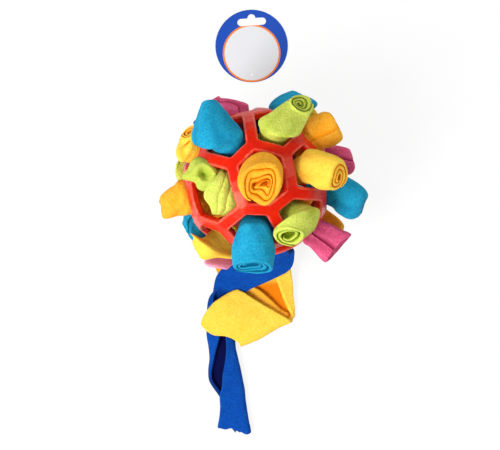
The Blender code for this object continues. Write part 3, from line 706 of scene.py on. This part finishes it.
def clothStrip(name, values, endEdge):
    shared, half = stripShared, stripShared["thick"] / 2
    rows = [entryRow(*row) for row in values["entry"]]
    rows += [insideRow(*row) for row in values["inside"]]
    rows += [exitRow(*row) for row in values["exit"]]
    rows += [laidRow(*row) for row in values["laid"]]
    lines, shades = stripGrid(rows)
    across = len(lines[0])
    for i, place in enumerate(lines[-1]):  # the cut end isn't straight
        lines[-1][i] = place + endEdge(i / (across - 1), values)
    for line in lines:
        for i, place in enumerate(line):
            line[i] = crumple(place, shared["waves"], values["seeds"])
            line[i].z = max(line[i].z, half + shared["aboveTable"])
    piece = clothFrom(name, lines, shades, values["tone"])
    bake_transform(piece)
    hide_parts(*values["replaces"])


# entry, inside, exit and laid: the strip's rows in order, as what the row functions above take
plain = (0, 0, 0)  # no part of the row has painted shade
blueValues = {
    "tone": "royalBlue", "seeds": (31, 36), "replaces": ("blue_strip", "blue_tail"),
    "teeth": ((60, 0, 0.7), (23, 1, 1.0)),  # of the torn end: how close, shifted by, and mm deep
    "entry": ((34.1 * mm, 0.5),),
    "inside": ((-100, 0.60, 0.50), (-78, 0.58, 0.45), (-52, 0.66, 0.45), (-25, 0.62, 0.60), (0, 0.56, 0.80),
               (35, 0.57, 0.90), (70, 0.62, 0.90)),
    "exit": ((0.76, 4, 1), (0.95, 4, 0.5), (1.07, 4, 0)),
    # the first of each laid row: the painted shade of its flap, middle and rest; the navy between the flaps
    # is painted as in shade
    "laid": (
        (plain, (259, 262, 38), (294.5, 250, 38)),
        (plain, (244, 266, 28), (291, 268, 27)),
        (plain, (229, 266, 20), (268, 281, 17)),
        (plain, (219, 273, 13), (252, 288, 11)),
        (plain, (214, 285, 9), (244, 293, 7)),
        ((0.2, 0.8, 0), (214, 297, 7), (210, 297, 4), (236, 298, 4), (234, 298, 7)),
        ((0.1, 1, 0), (214, 316, 6), (208, 317, 3.5), (235, 316, 3.5), (230, 316, 6.5)),
        ((0, 1, 0), (220, 333, 7), (207, 333, 3.6), (233.5, 334, 3.6), (226, 334, 7)),
        ((0, 1, 0), (217.5, 345, 7), (209, 345, 3.8), (235, 346, 3.6), (226.5, 346, 7)),
        ((0, 1, 0), (214.5, 357, 6.5), (210, 357, 3.8), (238, 358, 3.6), (226, 358, 7)),
        ((0.2, 1, 0), (212.3, 368, 5.8), (209, 368, 3.6), (240, 368, 3.6), (224.5, 368, 7)),
        ((0.5, 1, 0), (212.5, 378, 5), (210, 378, 3.4), (241.5, 378, 3.6), (223, 378, 7)),
        ((0.6, 1, 0), (217, 388, 4.6), (215, 388, 3.2), (243, 388, 3.6), (222, 388, 6.8)),
        ((0.6, 1, 0), (223, 398, 4.4), (221.5, 398, 3.1), (244.5, 398, 3.6), (220.3, 396, 6.6)),
        ((0.6, 1, 0), (227, 410, 4.4), (225.5, 410, 3.1), (246.5, 410, 3.6), (220.3, 406, 6.4)),
        ((0.6, 1, 0), (231, 421, 4.4), (229.5, 421, 3.1), (248.5, 422, 3.6), (219, 417, 6.2)),
        ((0.6, 1, 0), (235, 431, 4.4), (233.5, 431, 3.1), (250.5, 434, 3.6), (217.5, 427, 6)),
    ),
}
yellowValues = {
    "tone": "yellow", "seeds": (34, 39), "replaces": ("yellow_strip", "yellow_tail"),
    "endCurve": Vector((-4.2, 4.6, 0)) * mm, "endPower": 0.8,
    "entry": (),
    "inside": ((75, 0.36, 0.6), (98, 0.58, 0.7)),
    "exit": ((0.80, -4, 1), (0.91, -4, 1), (0.99, -4, 0.5)),
    # the first of each laid row: the painted shade of its flap, middle and rest; the fold's inside is
    # painted deep orange for shade and bounced light
    "laid": (
        (plain, (262, 266, 15), (289.5, 262, 17)),
        (plain, (249, 277, 5.5), (291, 275, 8)),
        ((0.4, 1, 0), (252, 284.5, 6.6), (246, 287, 4), (278.5, 284, 4), (279.5, 284, 6.5), (292.5, 287, 4)),
        ((0.5, 1, 0), (262, 291.5, 6.6), (246, 297, 2.6), (283.5, 297, 2.8), (284.5, 297, 5.5),
         (293.5, 299, 3)),
        ((0.5, 1, 0), (273, 301.5, 6.4), (245, 312, 2.6), (288, 307, 2.8), (289, 307, 5), (294.5, 308, 2.4)),
        ((0.6, 1, 0), (283, 310.5, 6.2), (244, 328, 2.6), (290, 312, 3), (291, 312, 4.6), (294, 314, 2.6)),
        ((0.6, 0.8, 0.2), (289, 316.5, 6), (243, 341, 3), (290.5, 317, 3.2), (291.5, 317, 4),
         (293, 318.5, 3.4)),
        (plain, (243.5, 345, 5.6), (291.5, 321.5, 6)),
        (plain, (240.5, 343.5, 8.4), (289, 319.3, 8.4)),
        (plain, (232, 338, 9.6), (276, 311.3, 9.6)),
        (plain, (223, 336, 10.2), (263, 303.8, 10)),
        (plain, (214, 336, 10.4), (251, 296.3, 10.4)),
        (plain, (206, 331.5, 10.2), (243.5, 291.6, 10.4)),
        (plain, (200, 325.5, 9.6), (237, 289.5, 10)),
    ),
}


def blueEnd(share, values):  # small teeth along the torn end
    away = sum(math.sin(share * close + shift) * deep for close, shift, deep in values["teeth"])
    return Vector((0, away, 0)) * mm


def yellowEnd(share, values):  # the cut end is curved
    return values["endCurve"] * math.sin(math.pi * share) ** values["endPower"]


# the left strip is knotted: a loop round a small eye, and its end that tucks into the opening
knotValues = {
    "tone": "lime", "eye": (204, 174, 116), "eyeWide": 6.2,  # pixels and heights in mm
    "outline": ((217, 172, 112), (215, 180, 110), (209, 190, 108), (199, 187, 108), (196, 181, 108),
                (182, 178, 101), (188, 170, 106), (196, 159.5, 108), (203, 160, 110), (209, 163, 112)),
    # from the eye to the outline and back under it: share of the way out, of the eye's width, and mm up
    "rings": ((0, 0.04, -5.5), (0, 0.7, -4.6), (0, 1.1, -0.8), (0.12, 1.2, 1.2), (0.32, 0.8, 2.4),
              (0.55, 0.4, 2.6), (0.78, 0, 1.8), (0.93, 0, 0.4), (1.0, 0, -1.6), (0.93, 0, -4.0),
              (0.80, 0, -5.0)),
    "columns": 44, "waves": ((9 * mm, 1.6 * mm), (4 * mm, 0.7 * mm)), "seeds": (51, 52),
    "fade": 0.25, "leastShade": 0.3,  # painted shade: darkest at the eye, and each ring lighter by fade
    # left and right edge of the tucked end, and how high it arches
    "endRows": (((213, 213, 104), (227, 216, 102), 2), ((210, 206, 110), (237, 210, 106), 4),
                ((205, 195, 114), (238, 200, 110), 5), ((209, 186, 115), (236, 188, 111), 5),
                ((216, 177, 114), (232, 178, 111), 4), ((220, 169, 110), (228, 170, 108), 2)),
    "endCreases": ((0.25, 0.62), (0.5, 0.9)),
}
bandShared = {  # what the short laid bands have alike
    "steps": 24, "archPower": 0.6, "creaseWideShare": 0.05, "creaseDeep": 1.5 * mm,
    "waves": ((10 * mm, 1.2 * mm), (4 * mm, 0.5 * mm)), "seeds": (53, 54),
}


def knotLoop(values):
    eye, outline, count = Vector(values["eye"]), values["outline"], values["columns"]
    rim = []
    for c in range(count):
        t = c / count * len(outline)
        k = int(t)
        four = [Vector(outline[(k + i) % len(outline)]) for i in (-1, 0, 1, 2)]
        rim.append(smoothPath(four, (1 + t - k) / 3))
    rings = []
    for share, eyeShare, rise in values["rings"]:
        ring = []
        for place in rim:
            out = place - eye
            flat = Vector((out.x, out.y, 0)).normalized() * values["eyeWide"] * eyeShare
            middle = eye + out * share + flat + Vector((0, 0, rise))
            ring.append(crumple(atPixel(*middle), values["waves"], values["seeds"]))
        rings.append(ring)
    # the loop's painted shade, darkest at its eye
    shades = [[max(values["leastShade"], 1 - r * values["fade"])] * count for r in range(len(rings))]
    finishKnot(clothFrom("knotLoop", rings, shades, values["tone"], closed=True))


def laidBand(name, rows, tone, deep, creases=()):
    # a band over rows of left edge, right edge and arch, with deep as its painted shade; creases: where they
    # start and end across it
    shared, steps = bandShared, bandShared["steps"]
    lines = []
    for r in range(steps + 1):
        t = r / steps
        left, right = (smoothPath([atPixel(*row[side]) for row in rows], t) for side in (0, 1))
        arch = smoothPath([Vector((0, 0, row[2])) for row in rows], t) * mm
        line = []
        for c in range(steps + 1):
            across = c / steps
            place = left.lerp(right, across) + arch * math.sin(math.pi * across) ** shared["archPower"]
            for start, end in creases:
                away = (across - start - (end - start) * t) / shared["creaseWideShare"]
                place.z -= shared["creaseDeep"] * math.exp(-away ** 2)
            line.append(crumple(place, shared["waves"], shared["seeds"]))
        lines.append(line)
    return clothFrom(name, lines, [[deep] * (steps + 1)] * (steps + 1), tone)


def finishKnot(piece):
    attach(piece, "left_roll")


def knotEnd(values):
    finishKnot(laidBand("knotEnd", values["endRows"], values["tone"], 0, values["endCreases"]))


knotLoop(knotValues)
knotEnd(knotValues)
print("knot made")


# a golden edge of cloth that lies on the table and shows at the left of the blue strip
goldenValues = {
    # the golden edge has a little painted shade
    "tone": "golden", "width": 12 * mm, "paintedShade": 0.2,
    "rows": (((216, 250, 5), (228, 252, 5), 0), ((209.5, 259, 6), (222, 262, 6), 0),
             ((213, 266, 5.5), (226, 270, 5), 0), ((218, 273.5, 4.5), (230, 278, 4), 0),
             ((228, 279, 3.5), (240, 281, 3), 0)),
}


def goldenEdge(values):
    piece = laidBand("goldenEdge", values["rows"], values["tone"], values["paintedShade"])
    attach(piece, "ball")


goldenEdge(goldenValues)
print("golden edge made")


# loose folds of the strips inside the ball, seen through the openings that the rolls leave open
foldShared = {
    # the folds inside the ball have a painted shade of 0.45
    "grid": 2.2 * mm, "leastSteps": 6, "paintedShade": 0.45, "waves": ((11 * mm, 2.2 * mm),),
    "deepAcross": 2.6 * mm, "closeAcross": 3.1 * mm, "deepAlong": 1.5 * mm, "closeAlong": 6 * mm,
}
foldValues = {
    "foldGolden": {"tone": "golden", "middle": (213, 200, 82), "long": 28 * mm, "wide": 22 * mm,
                   "turn": 100, "seed": 41},
    "foldNavy": {"tone": "royalBlue", "middle": (251, 127, 80), "long": 16 * mm, "wide": 13 * mm,
                 "turn": 15, "seed": 42},
}


def looseFold(name, values):
    shared, long, wide = foldShared, values["long"], values["wide"]
    turn = Matrix.Rotation(math.radians(values["turn"]), 3, "Z")
    middle = atPixel(*values["middle"])
    stepsLong, stepsWide = (max(shared["leastSteps"], round(size / shared["grid"])) for size in (long, wide))
    lines = []
    for r in range(stepsLong + 1):
        line = []
        for c in range(stepsWide + 1):
            x, y = long * (r / stepsLong - 0.5), wide * (c / stepsWide - 0.5)
            z = shared["deepAcross"] * math.sin(y / shared["closeAcross"] + values["seed"])
            z += shared["deepAlong"] * math.sin(x / shared["closeAlong"])
            line.append(crumple(middle + turn @ Vector((x, y, z)), shared["waves"], (values["seed"],)))
        lines.append(line)
    shades = [[shared["paintedShade"]] * (stepsWide + 1)] * (stepsLong + 1)
    piece = clothFrom(name, lines, shades, values["tone"])
    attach(piece, "ball")


for foldName, oneFold in foldValues.items():
    looseFold(foldName, oneFold)
print("loose folds made")

clothStrip("blueCloth", blueValues, blueEnd)
clothStrip("yellowCloth", yellowValues, yellowEnd)
print("wide strips made")


# the card's print: plain rings and no words
cardValues = {
    "middle": Vector((-4, 113, 0)) * mm, "discRadius": 23 * mm, "ringRadius": 24.5 * mm,
    "disc": (0.62, 0.63, 0.655), "ring": (0.76, 0.19, 0.012), "ground": (0.0004, 0.055, 0.38),
    "surface": {"Specular IOR Level": 0.2, "Roughness": 0.45},
}


def printCard(values):
    card = bpy.data.objects["swing_card"]
    made, nodes, links = newMaterial("printedCard")
    shader = nodes["Principled BSDF"]
    away = nodes.new("ShaderNodeVectorMath")
    away.operation = "DISTANCE"
    links.new(nodes.new("ShaderNodeTexCoord").outputs["Object"], away.inputs[0])
    away.inputs[1].default_value = card.matrix_world.inverted() @ values["middle"]
    tone = values["disc"]
    for radius, beyond in (("discRadius", "ring"), ("ringRadius", "ground")):
        past = addMath(nodes, links, "GREATER_THAN", away.outputs["Value"], values[radius])
        tone = addMix(nodes, links, past, tone, values[beyond])
    links.new(tone, shader.inputs["Base Color"])
    setInputs(shader, values["surface"])
    card.data.materials.clear()
    card.data.materials.append(made)


printCard(cardValues)
print("card printed")


# the camera, the floor and the lights
floorValues = {
    "size": 8, "under": 0.2 * mm,
    "surface": {"Base Color": (0.86, 0.86, 0.86, 1), "Roughness": 0.9, "Specular IOR Level": 0.1},
    # under the ball the floor is left in shadow
    "glow": {"From Min": 46 * mm, "From Max": 62 * mm, "To Max": 0.85},
}
lightValues = {
    "world": {"Color": (1, 1, 1, 1), "Strength": 0.41}, "aim": Vector((0, -0.02, 0.05)),
    "lamps": {  # place, size and power
        "keyLight": ((-0.75, -0.55, 0.95), 0.6, 19.5),
        "fillLight": ((0.9, 0.35, 0.9), 0.5, 2.4),
        "topLight": ((0.1, 0.5, 1.3), 0.5, 4),
    },
}


def setCamera(values):
    bpy.ops.object.camera_add(location=values["place"] * mm, rotation=(0, 0, 0))
    camera = bpy.context.object
    camera.data.lens = values["lens"]
    camera.data.sensor_width = values["sensor"]
    camera.data.clip_start = values["clip"]
    bpy.context.scene.camera = camera


def setFloor(values):  # to the camera it glows evenly, away from the ball
    bpy.ops.mesh.primitive_plane_add(size=values["size"], location=(0, 0, -values["under"]))
    floor = bpy.context.object
    floor.name = "floor"
    made, nodes, links = newMaterial("paleFloor")
    shader = nodes["Principled BSDF"]
    setInputs(shader, values["surface"])
    away = nodes.new("ShaderNodeVectorMath")
    away.operation = "LENGTH"
    links.new(nodes.new("ShaderNodeTexCoord").outputs["Object"], away.inputs[0])
    unshaded = addRange(nodes, links, away.outputs["Value"], values["glow"])
    seen = nodes.new("ShaderNodeLightPath").outputs["Is Camera Ray"]
    both = nodes.new("ShaderNodeMixShader")
    links.new(addMath(nodes, links, "MULTIPLY", seen, unshaded), both.inputs["Fac"])
    links.new(shader.outputs["BSDF"], both.inputs[1])
    links.new(nodes.new("ShaderNodeEmission").outputs["Emission"], both.inputs[2])
    links.new(both.outputs["Shader"], nodes["Material Output"].inputs["Surface"])
    floor.data.materials.append(made)


def setLights(values):
    world = bpy.data.worlds.new("studio")
    bpy.context.scene.world = world
    world.use_nodes = True
    setInputs(world.node_tree.nodes["Background"], values["world"])
    world.cycles_visibility.glossy = False  # only the lamps shine in the rubber
    for name, (place, size, power) in values["lamps"].items():
        bpy.ops.object.light_add(type="AREA", location=place)
        light = bpy.context.object
        light.name = name
        light.data.size = size
        light.data.energy = power
        light.rotation_euler = (Vector(place) - values["aim"]).to_track_quat("Z", "Y").to_euler()


setCamera(cameraValues)
setFloor(floorValues)
setLights(lightValues)
bpy.context.scene.view_settings.view_transform = "Standard"
print("camera, floor and lights set")
